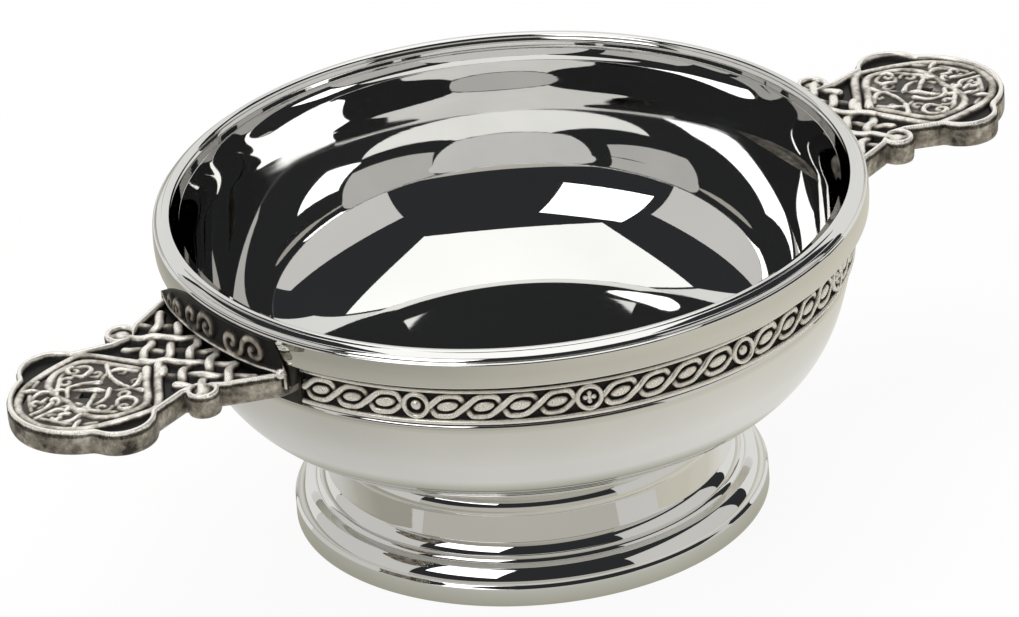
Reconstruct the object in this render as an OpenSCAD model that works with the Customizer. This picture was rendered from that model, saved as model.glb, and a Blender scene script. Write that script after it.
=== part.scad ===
// Two-lugged drinking bowl on a pedestal foot, soldered up from spun and cast pieces.
// Millimetres. Z is the axis of the bowl, Z = 0 is the table, and the lugs lie along X.

/* [Bowl] */
// Greatest outer diameter, at the plain collar under the rim
bowl_d = 114; // [104:0.5:130]
// Overall height from the table to the top of the rim wire
overall_h = 55; // [52:0.25:62]
// Thickness of the wall behind the knot band
wall_t = 1.1; // [0.9:0.05:1.6]
// Thickness of the floor over the foot, at its middle
floor_t = 1.75; // [1.2:0.05:3]
// Share of its radius that the lower bowl draws in outside before it rounds under
bowl_taper = 0.12; // [0.08:0.01:0.2]
// Squareness of the outside of the lower bowl along its height
bowl_power_z = 3.65; // [3.2:0.05:5]
// Squareness of the outside of the lower bowl across its width
bowl_power_r = 2.7; // [2.4:0.1:4.6]
// Diameter of the joint between the bowl and the foot
joint_d = 63.6; // [60:0.2:64]
// Rounding of the bowl's shoulder under the knot band
shoulder_round = 1.2; // [0.8:0.1:1.6]
// How far the shoulder stands out past the band seat
shoulder_proud = 0.35; // [0.2:0.05:0.6]
// Height of the inner crease above the shoulder
crease_rise = 4.2; // [2:0.1:5]
// Place of the inside's tightest turn, as a share of the way from the crease to the middle
turn_place = 0.322; // [0.28:0.001:0.36]
// Softness of that turn, as a share of the same way
turn_width = 0.113; // [0.09:0.001:0.14]
// How far the wall above the crease first leans out
wall_swell = 0.16; // [0:0.01:0.3]
// How far the wall then draws in under the rim
wall_waist = 0.21; // [0:0.01:0.3]

/* [Collar] */
// Height of the plain collar between the knot band and the rim wire
collar_h = 4.55; // [4:0.05:7]
// How far the collar stands out past the band seat
collar_proud = 3.7; // [3.2:0.1:4.4]
// How much the collar draws in from its fullest height to its edges
collar_bulge = 0.15; // [0:0.05:0.6]
// Rounding of the collar's edges
collar_round = 0.35; // [0.2:0.05:0.6]
// Width of the sloping ledge on top of the collar
ledge_w = 0.8; // [0.5:0.05:1.2]
// Slope of that ledge, in degrees
ledge_slope = 30; // [15:1:45]

/* [Rim wire] */
// Height of the rim wire above its seat
rim_wire_h = 1.45; // [1.2:0.05:1.8]
// Width of the inner bead of the rim wire
rim_bead_w = 1.55; // [1.2:0.05:1.9]
// Rounding of the outer slope of the rim wire
rim_slope_round = 4; // [3:0.1:6]
// Rounding of the outer edge of the rim wire
rim_edge_round = 1.15; // [0.8:0.05:1.5]
// Step from the collar's edge in to the rim wire
rim_setback = 0.7; // [0.4:0.05:1]
// How far the foot of the rim wire flares inward
rim_flare = 1; // [0.5:0.05:1.4]

/* [Knot band] */
// Height of the seat between the shoulder and the collar
band_h = 8.2; // [7.5:0.05:9]
// Thickness of the strip's ground
band_ground_t = 0.5; // [0.3:0.05:0.8]
// Height of the relief above the ground
band_relief = 0.5; // [0.3:0.05:0.8]
// Height of the bare ground under the lower border
band_foot_h = 0.35; // [0.2:0.05:0.6]
// Height of the lower border, a bead
band_bead_h = 0.8; // [0.5:0.05:1.1]
// Height of the interlace between the borders
motif_h = 4.75; // [4.2:0.05:5.2]
// Height of the upper border line
band_border_h = 0.5; // [0.3:0.05:0.9]
// Distance along the band from one roundel to the next
roundel_pitch = 27.4; // [24:0.2:32]
// Distance along the band from the end of a strip to its first roundel
first_roundel = 20.2; // [4:0.2:24]
// Outer diameter of a roundel
roundel_d = 4.6; // [4:0.1:4.7]
// Width of the raised strands
strand_w = 1; // [0.7:0.05:1.2]
// Diameter of the pellet in a roundel
pellet_d = 1.5; // [1:0.1:1.8]
// Number of eyes in the twist between two roundels
eye_count = 4; // [3:1:5]

/* [Foot] */
// Height of the foot up to the joint with the bowl
foot_h = 16.9; // [15:0.1:20]
// Diameter of the base
foot_d = 76; // [70:0.5:84]
// Wall thickness of the foot
foot_wall = 2.2; // [1.8:0.1:2.8]
// Height of the plain base edge
base_edge_h = 3; // [2.2:0.1:4]
// Depth of the groove between the base edge and the roll
base_groove = 0.45; // [0.3:0.05:0.7]
// Rounding of the roll above the base edge
roll_round = 5.4; // [4.5:0.1:6.5]
// Angle that the roll turns through, in degrees
roll_turn = 29; // [22:1:36]
// Width of the ledge between the roll and the lower step
step_ledge = 1.45; // [1:0.05:1.8]
// Rounding of the lower step
lower_step_round = 1.5; // [1:0.05:2]
// Rounding of the upper step
upper_step_round = 4.2; // [3.4:0.1:5]
// How far the steep wall leans in towards the neck
wall_lean = 1.25; // [0.8:0.05:1.8]
// Height of the ovolo and its seat under the bowl
neck_h = 4.2; // [3.8:0.05:4.8]
// How far the ovolo stands out past the neck
ovolo_out = 1.35; // [0.8:0.05:1.6]
// Rounding of the ovolo
ovolo_round = 4; // [3.2:0.1:4.4]
// Depth of the spigot under the bowl that centres the foot
spigot_h = 1.7; // [1.2:0.1:2.4]
// Width of the soldered shoulder round the spigot
shoulder_seat_w = 4; // [3:0.1:5]

/* [Lugs] */
// Length of a lug from the band seat to its tip
lug_len = 39.2; // [36:0.2:46]
// Thickness of a lug, relief included
lug_t = 4.3; // [3.6:0.1:5]
// Height of the carved relief
lug_relief = 0.9; // [0.6:0.1:1.3]
// Droop of a lug from its root to its tip, in degrees
lug_droop = 3; // [0:0.5:6]
// Drop from the collar's underside to the lug's top at the band seat
lug_drop = 1.5; // [1:0.1:2.5]
// Diameter of the round head
head_d = 25.2; // [22:0.2:27]
// Greatest width across the shoulder lobes
shoulder_w = 31.8; // [28:0.2:34]
// Diameter of a shoulder lobe
shoulder_d = 11.6; // [9:0.2:13]
// Width across the haunches, where the edge meets the shoulder lobes
haunch_w = 25.8; // [24:0.2:28]
// Distance from the band seat out to the haunches
haunch_out = 22; // [20:0.2:24]
// Width of the waist between head and root
waist_w = 21.6; // [18:0.2:23]
// Distance from the band seat out to the waist
waist_out = 15.3; // [14:0.1:17]
// Diameter of a small waist lobe
waist_lobe_d = 5.4; // [4:0.1:6]
// Width of the narrow end of the flared root
root_neck_w = 26.6; // [24:0.2:29]
// Distance from the band seat out to that end
root_neck_out = 9.6; // [8:0.1:11]
// Greatest width of the flared root
root_w = 34.6; // [32:0.2:36]
// Distance from the band seat out to the greatest width
root_out = 1.3; // [0.5:0.1:3]
// Width of the curved root pad on the bowl
pad_w = 35.2; // [34:0.2:40]
// Thickness of the root pad
pad_t = 1; // [0.8:0.05:1.4]
// Half the angle that the upstand takes up round the collar, in degrees
upstand_half_angle = 19; // [16:0.5:24]
// Thickness of the upstand
upstand_t = 1; // [0.7:0.05:1.4]
// Distance from the top of the upstand to the top of the rim wire
upstand_below = 2.2; // [1.8:0.1:4]
// Depth that the upstand is let into the lug
upstand_root = 2.4; // [1.5:0.1:3]
// Width of the raised edge line and of the main strands
lug_strand_w = 1.3; // [1:0.05:1.6]
// Outer diameter of a linked ring at the root
plait_d = 8.8; // [7:0.2:9.6]

/* [Fits] */
// Thickness of a solder film between two pieces
solder_gap = 0.1; // [0.05:0.01:0.2]

/* [Hidden] */
$fn = 96;

// Heights, from the rim down
rim_seat_z = overall_h - rim_wire_h;
overhang_z = rim_seat_z - collar_h;
shelf_z = overhang_z - band_h;
lower_z = shelf_z - sqrt(pow(shoulder_round, 2) - pow(shoulder_round - shoulder_proud, 2));
crease_z = shelf_z + crease_rise;
spigot_z = foot_h - spigot_h;
floor_z = spigot_z + floor_t;

// Radii of the bowl
collar_r = bowl_d / 2;
seat_r = collar_r - collar_proud;
body_r = seat_r + shoulder_proud;
crease_r = seat_r - wall_t;
rim_out_r = collar_r - rim_setback;
joint_r = joint_d / 2;
spigot_r = joint_r - shoulder_seat_w;

// Strips of the knot band
strip_r = seat_r + solder_gap;
ground_r = strip_r + band_ground_t;
relief_r = ground_r + band_relief;
strip_z0 = shelf_z + solder_gap;
strip_z1 = overhang_z - solder_gap;
bead_z = strip_z0 + band_foot_h;
motif_z = bead_z + band_bead_h;
motif_mid_z = motif_z + motif_h / 2;
pad_half_angle = asin(pad_w / 2 / (strip_r + pad_t));
strip_end_angle = pad_half_angle + solder_gap / seat_r * 180 / PI;
strip_angle = 180 - 2 * strip_end_angle;
strip_len = strip_angle * ground_r * PI / 180;
roundel_count = floor((strip_len - first_roundel - roundel_d / 2) / roundel_pitch) + 1;
eye_pitch = (roundel_pitch - roundel_d) / eye_count;
eye_d = min(roundel_d, eye_pitch - strand_w / 2);

// Rim wire
wire_z = rim_seat_z + solder_gap;
rim_bead_r = rim_bead_w / 2;
rim_edge_from = 26;
rim_edge_to = 47;
rim_slope_to = 65;
rim_edge_center = [rim_out_r, wire_z] - rim_edge_round * [cos(rim_edge_from), sin(rim_edge_from)];
rim_slope_center = rim_edge_center + (rim_edge_round - rim_slope_round) * [cos(rim_edge_to), sin(rim_edge_to)];
rim_slope_top = rim_slope_center + rim_slope_round * [cos(rim_slope_to), sin(rim_slope_to)];
rim_bead_z = overall_h - rim_bead_r;
rim_bead_angle = asin((rim_slope_top[1] - rim_bead_z) / rim_bead_r);
rim_bead_center = [rim_slope_top[0] - rim_bead_r * cos(rim_bead_angle), rim_bead_z];
mouth_r = rim_bead_center[0] - rim_bead_r - rim_flare;

// Foot
base_r = foot_d / 2;
roll_from = 18;
roll_to = roll_from + roll_turn;
roll_foot = [base_r - base_groove, base_edge_h + 1.5 * base_groove];
roll_center = roll_foot - roll_round * [cos(roll_from), sin(roll_from)];
roll_top = roll_center + roll_round * [cos(roll_to), sin(roll_to)];
lower_step_from = 22;
lower_step_to = 60;
lower_step_foot = roll_top - [step_ledge, 0];
lower_step_center = lower_step_foot - lower_step_round * [cos(lower_step_from), sin(lower_step_from)];
lower_step_top = lower_step_center + lower_step_round * [cos(lower_step_to), sin(lower_step_to)];
step_groove = [0.18, -0.05];
upper_step_from = 20;
upper_step_to = 50;
upper_step_foot = lower_step_top - step_groove;
upper_step_center = upper_step_foot - upper_step_round * [cos(upper_step_from), sin(upper_step_from)];
wall_foot = upper_step_center + upper_step_round * [cos(upper_step_to), sin(upper_step_to)];
foot_top_z = foot_h - solder_gap;
neck_r = wall_foot[0] - wall_lean;
neck_z = foot_top_z - neck_h;
ovolo_r = neck_r + ovolo_out;
ovolo_from = 5;
ovolo_to = 60;
ovolo_center = [ovolo_r, neck_z + 0.45 * ovolo_out] - ovolo_round * [cos(ovolo_from), sin(ovolo_from)];
ovolo_top = ovolo_center + ovolo_round * [cos(ovolo_to), sin(ovolo_to)];
bore_r = spigot_r + solder_gap;

// Lugs, in their own frame: X outward from the band seat, Z = 0 on top of the relief
pad_r = strip_r + pad_t;
corner_x = sqrt(pow(strip_r, 2) - pow(root_w / 2, 2));
root_x = corner_x - seat_r;
lug_root_z = overhang_z - lug_drop;
head_x = lug_len - head_d / 2;
shoulder_y = (shoulder_w - shoulder_d) / 2;
waist_lobe_x = waist_out - waist_lobe_d / 2;
waist_lobe_y = waist_w / 2 + waist_lobe_d / 4;
upstand_r = collar_r + solder_gap;
upstand_foot_z = lug_root_z - upstand_root;
upstand_top_z = overall_h - upstand_below;
plait_x = (upstand_r + upstand_t - seat_r + waist_out) / 2;
knot_d = head_d * 0.4;
knot_off = head_d * 0.13;

pewter = [0.78, 0.78, 0.77];
cast_pewter = [0.55, 0.53, 0.5];
far_up = 2 * overall_h;

// Radius of the bowl's lower curve, where u runs from 0 at its top to 1 at its bottom
function bowl_curve_r(top_r, u) =
    top_r * (1 - bowl_taper * u) * pow(1 - pow(u, bowl_power_z), 1 / bowl_power_r);

// Points of that curve from its top down, evenly spread round the turn
function bowl_curve(top_r, top_z, bottom_z, steps) =
    [for (i = [0 : steps])
        let (u = pow(sin(90 * i / steps), 2 / bowl_power_z))
        [bowl_curve_r(top_r, u), top_z + (bottom_z - top_z) * u]];

// Steepness of the inside at a share s of the way from the crease to the middle, in degrees from the axis
function inside_tilt(s) = 90 / (1 + exp((turn_place - s) / turn_width));

// The inside from the crease to the middle: steps added up at that steepness, then fitted to the two ends
function inside_curve(steps) =
    let (walk = [for (i = 0, across = 0, down = 0; i <= steps;
                      across = across + sin(inside_tilt((i + 0.5) / steps)),
                      down = down + cos(inside_tilt((i + 0.5) / steps)),
                      i = i + 1) [across, down]])
    [for (p = walk) [crease_r * (1 - p[0] / walk[steps][0]),
                     crease_z + (floor_z - crease_z) * p[1] / walk[steps][1]]];

// Points of a cubic curve from a to b, pulled towards c and d
function wave(a, c, d, b, steps) =
    [for (i = [0 : steps]) let (t = i / steps, s = 1 - t)
        s * s * s * a + 3 * s * s * t * c + 3 * s * t * t * d + t * t * t * b];

// Points of a quadratic curve from a to b, pulled towards c
function bend(a, c, b, steps) =
    [for (i = [0 : steps]) let (t = i / steps) (1 - t) * (1 - t) * a + 2 * t * (1 - t) * c + t * t * b];

// Points of a round edge, from one angle to another
function arc(center, r, from, to, steps) =
    [for (i = [0 : steps]) let (a = from + (to - from) * i / steps) center + r * [cos(a), sin(a)]];

// Outer face of the collar, bulging a little at mid height
function collar_face_r(z) = collar_r - collar_bulge * pow((z - overhang_z) / collar_h * 2 - 1, 2);

module bowl_profile() {
    outside = [for (p = bowl_curve(body_r, lower_z, spigot_z, 40)) if (p[0] > joint_r && p[1] > foot_h) p];
    shoulder_end = acos(1 - shoulder_proud / shoulder_round);
    shoulder = arc([body_r - shoulder_round, lower_z], shoulder_round, 0, shoulder_end, 6);
    face_z = overhang_z + collar_round;
    ledge_rise = ledge_w * tan(ledge_slope);
    face_top_z = rim_seat_z - solder_gap - ledge_rise - collar_round;
    face = [for (i = [0 : 6]) let (z = face_z + (face_top_z - face_z) * i / 6) [collar_face_r(z), z]];
    collar_foot = arc(face[0] - [collar_round, 0], collar_round, -90, -15, 4);
    collar_top = arc(face[6] - [collar_round, 0], collar_round, 15, 90 - ledge_slope, 3);
    ledge_end = collar_top[3] + [-ledge_w, ledge_rise];
    upper_h = rim_seat_z - crease_z;
    upper_wall = wave([mouth_r, rim_seat_z], [crease_r - wall_waist, crease_z + upper_h * 2 / 3],
                      [crease_r + wall_swell, crease_z + upper_h / 3], [crease_r, crease_z], 10);
    polygon(concat(
        [[0, spigot_z], [spigot_r, spigot_z], [spigot_r, foot_h], [joint_r, foot_h]],
        [for (i = [len(outside) - 1 : -1 : 1]) outside[i]],
        shoulder,
        [[seat_r, overhang_z]],
        collar_foot,
        face,
        collar_top,
        [ledge_end, [rim_out_r, rim_seat_z]],
        upper_wall,
        [for (p = inside_curve(48)) if (p[1] < crease_z) p]));
}

module bowl() {
    color(pewter) rotate_extrude() bowl_profile();
}

module rim_wire() {
    color(pewter) rotate_extrude() intersection() {
        union() {
            polygon(concat(
                [[mouth_r, rim_seat_z], [rim_out_r, rim_seat_z]],
                arc(rim_edge_center, rim_edge_round, rim_edge_from, rim_edge_to, 4),
                arc(rim_slope_center, rim_slope_round, rim_edge_to, rim_slope_to, 5),
                [rim_bead_center, rim_bead_center - [rim_bead_r, 0]]));
            translate(rim_bead_center) circle(r = rim_bead_r);
        }
        translate([mouth_r - rim_flare, wire_z]) square([collar_r - mouth_r + rim_flare, rim_wire_h]);
    }
}

// Raised ring on the band, at a distance along the strip from its end; a hole of 0 leaves a disc
module band_ring(along, outer_d, hole_d) {
    rise_r = strip_r + band_ground_t / 2;
    rotate([0, 0, strip_end_angle + along / ground_r * 180 / PI]) translate([rise_r, 0, motif_mid_z])
        rotate([0, 90, 0]) linear_extrude(relief_r - rise_r) difference() {
            circle(d = outer_d, $fn = 48);
            if (hole_d > 0) circle(d = hole_d, $fn = 48);
        }
}

// One strip: ground, border lines, roundels with pellets, and a chain of eyes between the roundels
module knot_band() {
    rotate([0, 0, strip_end_angle]) rotate_extrude(angle = strip_angle) {
        translate([strip_r, strip_z0]) square([band_ground_t, strip_z1 - strip_z0]);
        translate([strip_r, bead_z]) square([relief_r - strip_r, band_bead_h]);
        translate([strip_r, motif_z + motif_h]) square([relief_r - strip_r, band_border_h]);
    }
    for (i = [0 : roundel_count - 1]) {
        band_ring(first_roundel + i * roundel_pitch, roundel_d, roundel_d - 2 * strand_w);
        band_ring(first_roundel + i * roundel_pitch, pellet_d, 0);
    }
    for (i = [-1 : roundel_count - 1], j = [0 : eye_count - 1]) {
        along = first_roundel + i * roundel_pitch + roundel_d / 2 + (j + 0.5) * eye_pitch;
        if (along > eye_d && along < strip_len - eye_d) band_ring(along, eye_d, eye_d - 2 * strand_w);
    }
}

module knot_band_front() {
    color(cast_pewter) rotate([0, 0, 180]) knot_band();
}

module knot_band_back() {
    color(cast_pewter) knot_band();
}

module foot_profile() {
    inner_r = base_r - foot_wall;
    inner_step = [lower_step_foot[0] - foot_wall, roll_top[1] - foot_wall / 3];
    difference() {
        polygon(concat(
            [[0, 0], [base_r, 0], [base_r, base_edge_h], [base_r - base_groove, base_edge_h + base_groove]],
            arc(roll_center, roll_round, roll_from, roll_to, 6),
            arc(lower_step_center, lower_step_round, lower_step_from, lower_step_to, 5),
            arc(upper_step_center, upper_step_round, upper_step_from, upper_step_to, 6),
            [[neck_r, neck_z]],
            arc(ovolo_center, ovolo_round, ovolo_from, ovolo_to, 8),
            [[ovolo_top[0], foot_top_z], [0, foot_top_z]]));
        polygon(concat(
            [[0, -1], [inner_r, -1], [inner_r, base_edge_h]],
            bend(inner_step, [bore_r, upper_step_foot[1]], [bore_r, neck_z - foot_wall], 12),
            [[bore_r, foot_h + 1], [0, foot_h + 1]]));
    }
}

module foot() {
    color(pewter) rotate_extrude() foot_profile();
}

// One long edge of a lug's plan, from its root out to the head, on the side of positive Y
function lug_edge(inset) = [
    [root_x, root_w / 2 - inset],
    [root_out, root_w / 2 - inset],
    [root_neck_out, root_neck_w / 2 - inset],
    [waist_lobe_x, waist_w / 2 - inset],
    [waist_out, waist_w / 2 - inset],
    [haunch_out, haunch_w / 2 - inset],
    [head_x, shoulder_w / 2 - shoulder_d / 8 - inset]];

// Plan of a lug, drawn in by inset all round
module lug_plan(inset) {
    edge = lug_edge(inset);
    translate([head_x, 0]) circle(d = head_d - 2 * inset);
    for (side = [-1, 1]) {
        translate([head_x, side * shoulder_y]) circle(d = shoulder_d - 2 * inset);
        translate([waist_lobe_x, side * waist_lobe_y]) circle(d = waist_lobe_d - 2 * inset);
    }
    polygon(concat(
        [for (p = edge) [p[0], -p[1]]],
        [for (i = [len(edge) - 1 : -1 : 0]) edge[i]]));
}

// Flat ring of one strand's width
module strand_ring(x, y, outer_d) {
    translate([x, y]) difference() {
        circle(d = outer_d);
        circle(d = outer_d - 2 * lug_strand_w);
    }
}

// Lines of the carving: edge line, linked rings at the root, and a ring knot in a round field at the head
module lug_lines() {
    difference() {
        lug_plan(0);
        lug_plan(lug_strand_w);
    }
    strand_ring(head_x, 0, head_d - 3.4 * lug_strand_w);
    for (turn = [45 : 90 : 315])
        strand_ring(head_x + knot_off * cos(turn), knot_off * sin(turn), knot_d);
    for (side = [-1, 0, 1])
        strand_ring(plait_x, side * 0.7 * plait_d, plait_d);
}

module lug_plate() {
    translate([seat_r, 0, lug_root_z]) rotate([0, lug_droop, 0]) {
        translate([0, 0, -lug_t]) linear_extrude(lug_t - lug_relief) lug_plan(0);
        translate([0, 0, -lug_relief - 0.2]) linear_extrude(lug_relief + 0.2) lug_lines();
    }
}

// Curved root of a lug: a pad on the band seat with a ledge under the collar
module lug_pad() {
    pad_in_r = seat_r - wall_t;
    ledge_r = upstand_r + upstand_t / 2;
    ledge_z = upstand_foot_z - solder_gap;
    rotate([0, 0, -pad_half_angle]) rotate_extrude(angle = 2 * pad_half_angle)
        polygon([[pad_in_r, strip_z0], [pad_r, strip_z0], [pad_r, ledge_z], [ledge_r, ledge_z],
                 [ledge_r, strip_z1], [pad_in_r, strip_z1]]);
}

// Curved plate that stands up from a lug against the collar
module lug_upstand() {
    rotate([0, 0, -upstand_half_angle]) rotate_extrude(angle = 2 * upstand_half_angle)
        translate([upstand_r, upstand_foot_z]) square([upstand_t, upstand_top_z - upstand_foot_z]);
}

module lug() {
    color(cast_pewter) difference() {
        union() {
            lug_plate();
            lug_pad();
            lug_upstand();
        }
        translate([0, 0, -far_up / 2]) cylinder(r = strip_r, h = 2 * far_up);
    }
}

module lug_right() {
    lug();
}

module lug_left() {
    rotate([0, 0, 180]) lug();
}

bowl();
rim_wire();
knot_band_front();
knot_band_back();
foot();
lug_left();
lug_right();
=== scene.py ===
import math

import bpy
import numpy as np
from mathutils import Matrix, Vector


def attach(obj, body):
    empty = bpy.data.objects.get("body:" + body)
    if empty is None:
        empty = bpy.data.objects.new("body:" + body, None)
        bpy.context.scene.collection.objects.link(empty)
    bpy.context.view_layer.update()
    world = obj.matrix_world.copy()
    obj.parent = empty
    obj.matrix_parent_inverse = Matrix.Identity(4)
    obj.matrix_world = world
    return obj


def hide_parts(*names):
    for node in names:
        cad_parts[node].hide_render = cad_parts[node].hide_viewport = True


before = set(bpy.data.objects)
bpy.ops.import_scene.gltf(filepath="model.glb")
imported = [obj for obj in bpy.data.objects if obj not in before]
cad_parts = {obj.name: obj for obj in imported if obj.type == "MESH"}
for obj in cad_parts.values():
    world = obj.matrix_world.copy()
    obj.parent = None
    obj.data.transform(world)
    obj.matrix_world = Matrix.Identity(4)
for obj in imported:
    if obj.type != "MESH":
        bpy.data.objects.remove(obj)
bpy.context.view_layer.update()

MM = 0.001
TINY = 1e-9

# Sizes of the solids, in millimetres and degrees, with the rim's edges drawn a little finer
OVERALL_H = 55.0
COLLAR_R = 57.0
COLLAR_H = 4.55
COLLAR_BULGE = 0.15
COLLAR_ROUND = 0.35
COLLAR_LEAN = 6
LEDGE_W = 0.15
LEDGE_SLOPE = 30
SEAT_R = 53.3
WALL_T = 1.1
RIM_WIRE_H = 1.45
RIM_BEAD_R = 0.775
RIM_SLOPE_ROUND = 4.0
RIM_EDGE_ROUND = 1.6
RIM_OUT_R = 56.5
RIM_FLARE = 1.36
RIM_ANGLES = (26, 47, 60)
BAND_H = 8.2
SHOULDER_ROUND = 1.2
SHOULDER_PROUD = 0.35
CREASE_RISE = 4.2
TURN_PLACE = 0.322
TURN_WIDTH = 0.113
WALL_SWELL = 0.16
WALL_WAIST = 0.21
FOOT_H = 16.9
SPIGOT_H = 1.7
SPIGOT_INSET = 4.0
FLOOR_T = 1.75
BOWL_TAPER = 0.12
BOWL_POWER_Z = 3.65
BOWL_POWER_R = 2.7
JOINT_R = 31.8
SOLDER_GAP = 0.1

RIM_SEAT_Z = OVERALL_H - RIM_WIRE_H
OVERHANG_Z = RIM_SEAT_Z - COLLAR_H
SHELF_Z = OVERHANG_Z - BAND_H
LOWER_Z = SHELF_Z - math.sqrt(SHOULDER_ROUND**2 - (SHOULDER_ROUND - SHOULDER_PROUD) ** 2)
BODY_R = SEAT_R + SHOULDER_PROUD
CREASE_Z = SHELF_Z + CREASE_RISE
CREASE_R = SEAT_R - WALL_T
SPIGOT_Z = FOOT_H - SPIGOT_H
SPIGOT_R = JOINT_R - SPIGOT_INSET
FLOOR_Z = SPIGOT_Z + FLOOR_T

STRIP_T = 0.5
STRIP_R = SEAT_R + SOLDER_GAP
GROUND_R = STRIP_R + STRIP_T
STRIP_Z0 = SHELF_Z + SOLDER_GAP
STRIP_Z1 = OVERHANG_Z - SOLDER_GAP
PAD_T = 1.0
PAD_HALF_W = 17.6
PAD_R = STRIP_R + PAD_T
PAD_HALF_ANGLE = math.asin(PAD_HALF_W / PAD_R)
STRIP_END_ANGLE = PAD_HALF_ANGLE + SOLDER_GAP / SEAT_R

LUG_T = 4.3
LUG_DROOP = math.radians(3)
LUG_LEN = 39.2
LUG_BELOW_COLLAR = 1.5
UPSTAND_BELOW_RIM = 2.2
UPSTAND_SUNK = 2.4
UPSTAND_HALF_ANGLE = math.radians(19)
LUG_ROOT_Z = OVERHANG_Z - LUG_BELOW_COLLAR
UPSTAND_R = COLLAR_R + SOLDER_GAP
UPSTAND_TOP_Z = OVERALL_H - UPSTAND_BELOW_RIM
UPSTAND_FOOT_Z = LUG_ROOT_Z - UPSTAND_SUNK

# How finely the shapes are drawn
TURN_STEPS = 256
CORNER_STEPS = 5
SHARP_CORNER = 25
CORNER_SHARE = 0.4


def outside_curve(steps):
    """Points of the bowl's lower outside from its top down, evenly spread round the turn."""
    points = []
    for i in range(steps + 1):
        u = min(math.sin(math.pi / 2 * i / steps) ** (2 / BOWL_POWER_Z), 1)
        radius = BODY_R * (1 - BOWL_TAPER * u) * (1 - u**BOWL_POWER_Z) ** (1 / BOWL_POWER_R)
        points.append((radius, LOWER_Z + (SPIGOT_Z - LOWER_Z) * u))
    return points


def inside_curve(steps):
    """The inside from crease to middle: steps added up at a set steepness, then fitted to the two ends."""
    share = (np.arange(steps) + 0.5) / steps
    tilt = math.pi / 2 / (1 + np.exp((TURN_PLACE - share) / TURN_WIDTH))
    across = np.concatenate([[0], np.cumsum(np.sin(tilt))])
    down = np.concatenate([[0], np.cumsum(np.cos(tilt))])
    radii = CREASE_R * (1 - across / across[-1])
    heights = CREASE_Z + (FLOOR_Z - CREASE_Z) * down / down[-1]
    return list(zip(radii.tolist(), heights.tolist()))


def bezier(points, steps):
    """Points of a curve from the first of the points to the last, pulled towards those between."""
    out = []
    for t in np.linspace(0, 1, steps + 1):
        row = np.array(points, float)
        while len(row) > 1:
            row = row[:-1] * (1 - t) + row[1:] * t
        out.append(tuple(row[0]))
    return out


def polar(center, radius, angle):
    """The point at an angle, in degrees, on a circle."""
    a = math.radians(angle)
    return (center[0] + radius * math.cos(a), center[1] + radius * math.sin(a))


def arc(center, radius, start, end, steps):
    """Points of a round edge from one angle to another, in degrees."""
    return [polar(center, radius, angle) for angle in np.linspace(start, end, steps + 1)]


def round_corners(points, radius):
    """Rounds each sharp corner of a profile."""
    points = [np.array(p, float) for p in points]
    out = [tuple(points[0])]
    for before, p, after in zip(points, points[1:], points[2:]):
        back, ahead = before - p, after - p
        back_len, ahead_len = np.linalg.norm(back), np.linalg.norm(ahead)
        turn = math.acos(np.clip(-back @ ahead / back_len / ahead_len, -1, 1))
        if math.degrees(turn) < SHARP_CORNER:
            out.append(tuple(p))
            continue
        cut = min(radius * math.tan(turn / 2), CORNER_SHARE * back_len, CORNER_SHARE * ahead_len)
        out += bezier([p + back / back_len * cut, p, p + ahead / ahead_len * cut], CORNER_STEPS)
    return out + [tuple(points[-1])]


def even_out(points, longest):
    """Splits long segments, so that smooth shading stays true next to rounded edges."""
    out = [points[0]]
    for a, b in zip(points, points[1:]):
        pieces = max(1, math.ceil(math.dist(a, b) / longest))
        for k in range(1, pieces + 1):
            out.append((a[0] + (b[0] - a[0]) * k / pieces, a[1] + (b[1] - a[1]) * k / pieces))
    return out


def add_object(name, data):
    """A new object in the scene."""
    obj = bpy.data.objects.new(name, data)
    bpy.context.scene.collection.objects.link(obj)
    return obj


def make_mesh(name, verts, faces, material):
    """A smooth mesh object from vertices in millimetres and a list of faces."""
    mesh = bpy.data.meshes.new(name)
    mesh.from_pydata((np.asarray(verts, float) * MM).tolist(), [], faces)
    mesh.validate()
    mesh.polygons.foreach_set("use_smooth", [True] * len(mesh.polygons))
    mesh.materials.append(material)
    mesh.update()
    return add_object(name, mesh)


def lathe(name, profile, material, closed):
    """A turned piece from a profile of (radius, height); a closed one joins its last point to its first."""
    rings, verts = [], []
    angles = np.linspace(0, 2 * math.pi, TURN_STEPS, endpoint=False)
    for r, z in profile:
        start = len(verts)
        if r < TINY:
            verts.append((0.0, 0.0, z))
            rings.append([start] * TURN_STEPS)
        else:
            verts += [(r * math.cos(a), r * math.sin(a), z) for a in angles]
            rings.append(list(range(start, start + TURN_STEPS)))
    faces = []
    pairs = list(zip(rings, rings[1:]))
    if closed:
        pairs.append((rings[-1], rings[0]))
    for low, high in pairs:
        for i in range(TURN_STEPS):
            j = (i + 1) % TURN_STEPS
            faces.append(list(dict.fromkeys([low[i], low[j], high[j], high[i]])))
    return make_mesh(name, verts, [f for f in faces if len(f) > 2], material)


def tube_faces(rings, around):
    """Faces between closed rings of points that follow one another."""
    faces = []
    for i in range(rings - 1):
        for j in range(around):
            k = (j + 1) % around
            faces.append([i * around + j, i * around + k, (i + 1) * around + k, (i + 1) * around + j])
    return faces


def capped_tube(rings, around):
    """The same with a face on each end."""
    first = list(range(around))[::-1]
    last = list(range((rings - 1) * around, rings * around))
    return tube_faces(rings, around) + [first, last]


# Materials


def new_material(name):
    """A new node material and its tree."""
    material = bpy.data.materials.new(name)
    material.use_nodes = True
    return material, material.node_tree


def set_inputs(tree, node, inputs):
    """Sets a node's inputs to numbers and colours, or feeds them from sockets."""
    for key, value in inputs.items():
        if isinstance(value, bpy.types.NodeSocket):
            tree.links.new(value, node.inputs[key])
        else:
            node.inputs[key].default_value = value


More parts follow.
